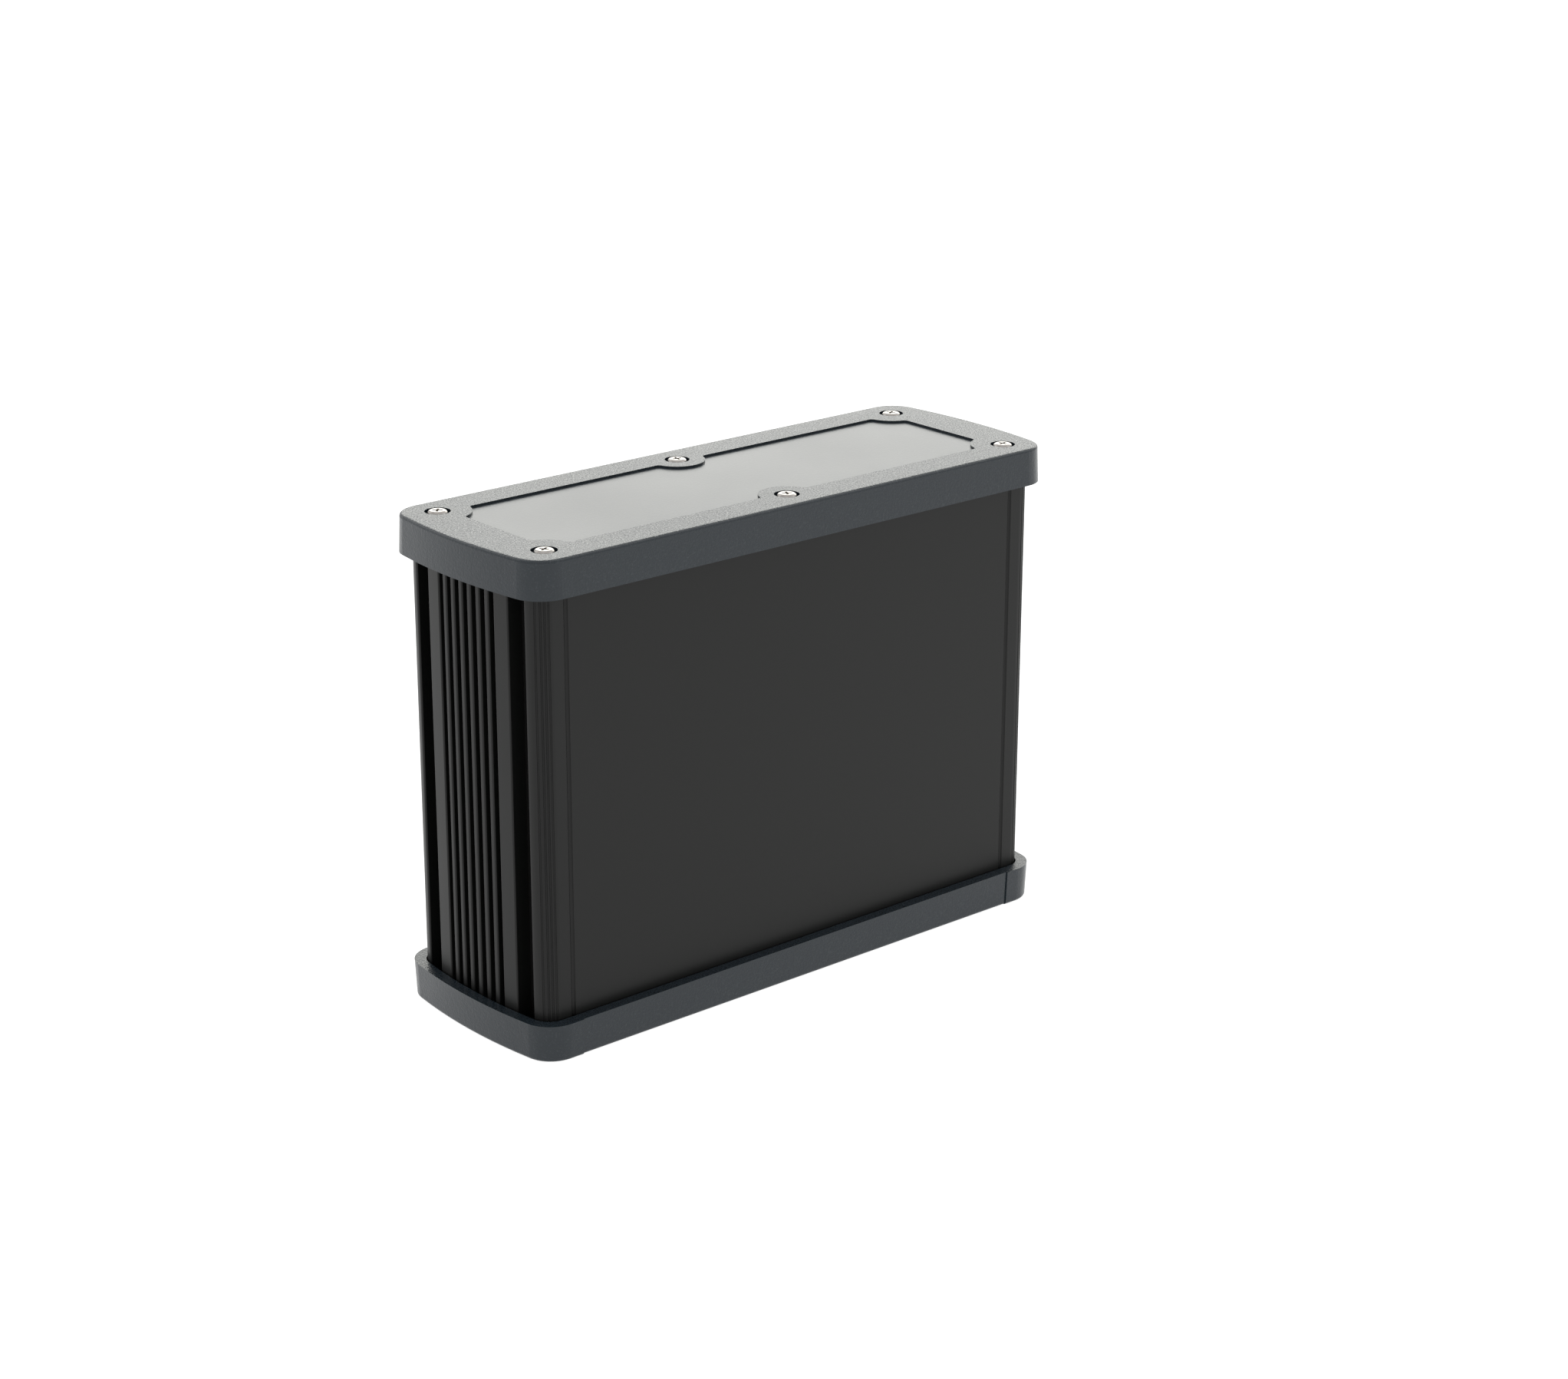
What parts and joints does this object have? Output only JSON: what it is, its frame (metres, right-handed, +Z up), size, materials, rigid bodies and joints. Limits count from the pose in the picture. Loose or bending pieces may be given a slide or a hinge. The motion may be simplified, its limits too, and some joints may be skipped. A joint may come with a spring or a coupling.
{
  "type": "battery box",
  "caption": "Upright extruded aluminium battery box with ribbed narrow sides, moulded end caps held by screws, and a sliding cell pack inside.",
  "frame": {"origin": "centre of the foot of the box, on the surface it stands on", "axes": "+X along the broad face, +Y through the depth with the broad front facing -Y, +Z up"},
  "size_m": [0.2024, 0.0714, 0.1503],
  "materials": {
    "black_anodised": "satin black anodised",
    "cap_plastic": "fine sand texture, dark slate",
    "seal_rubber": "matte",
    "foam": "closed-cell foam",
    "stainless": "satin stainless",
    "cell_can": "nickel-plated can",
    "cell_sleeve": "shrink sleeve",
    "washer_paper": "white insulating ring",
    "holder_plastic": "moulded black",
    "zinc_steel": "zinc plated",
    "nickel": "rolled nickel strip",
    "insulating_sheet": "glass-epoxy sheet",
    "circuit_board": "green solder mask",
    "brass": "tin-brass contact",
    "component_black": "moulded package",
    "bare_aluminium": "bare extruded",
    "capacitor_can": "bare can",
    "fuse_body": "tinted fuse body",
    "connector_white": "natural nylon",
    "connector_black": "moulded black",
    "lead_white": "silicone insulation",
    "lead_black": "silicone insulation",
    "lead_red": "silicone insulation"
  },
  "bodies": {
    "case": {"body_extrusion": "black_anodised", "bottom_end_cap": "cap_plastic", "bottom_gasket": "seal_rubber", "bottom_cap_screws": "stainless", "base_foam_pad": "foam", "end_foam_pad": "foam", "dock_bracket": "holder_plastic", "dock_bracket_screws": "stainless", "dock_receptacle": "connector_black", "dock_blades": "brass", "output_socket": "connector_black", "output_contacts": "brass", "charge_jack": "connector_black", "charge_contacts": "brass", "negative_output_lead": "lead_black", "positive_output_lead": "lead_red", "positive_charge_lead": "lead_red", "negative_charge_lead": "lead_black"},
    "pack": {"lower_cell_cans": "cell_can", "upper_cell_cans": "cell_can", "lower_cell_sleeves": "cell_sleeve", "upper_cell_sleeves": "cell_sleeve", "lower_cell_washers": "washer_paper", "upper_cell_washers": "washer_paper", "lower_foot_holder": "holder_plastic", "lower_head_holder": "holder_plastic", "upper_foot_holder": "holder_plastic", "upper_head_holder": "holder_plastic", "tie_rods": "zinc_steel", "tie_rod_nuts": "zinc_steel", "bottom_busbars": "nickel", "middle_busbars": "nickel", "top_busbar": "nickel", "lower_insulating_sheet": "insulating_sheet", "upper_insulating_sheet": "insulating_sheet", "protection_board": "circuit_board", "board_standoffs": "brass", "board_screws": "zinc_steel", "power_transistors": "component_black", "transistor_heatsink": "bare_aluminium", "current_shunts": "nickel", "bulk_capacitors": "capacitor_can", "control_chip": "component_black", "chip_resistors": "component_black", "fuse_holder": "component_black", "main_fuse": "fuse_body", "sense_header": "connector_white", "sense_plug": "connector_white", "sense_leads": "lead_white", "pack_negative_lead": "lead_black", "pack_positive_lead": "lead_red", "dock_socket": "connector_black"},
    "lid": {"top_end_cap": "cap_plastic", "top_gasket": "seal_rubber", "top_foam_pad": "foam"},
    "lid_screws": {"top_cap_screws": "stainless"}
  },
  "joints": [
    {"name": "pack_slide", "type": "slide", "parent": "case", "child": "pack", "axis": [0, 0, 1], "range_m": [0, 0.16]},
    {"name": "lid_lift", "type": "slide", "parent": "case", "child": "lid", "axis": [0, 0, 1], "range_m": [0, 0.32]},
    {"name": "screw_lift", "type": "slide", "parent": "lid", "child": "lid_screws", "axis": [0, 0, 1], "range_m": [0, 0.032]}
  ],
  "couplings": [
    {"joint": "lid_lift", "follows": "pack_slide", "ratio": 2},
    {"joint": "screw_lift", "follows": "pack_slide", "ratio": 0.2}
  ]
}
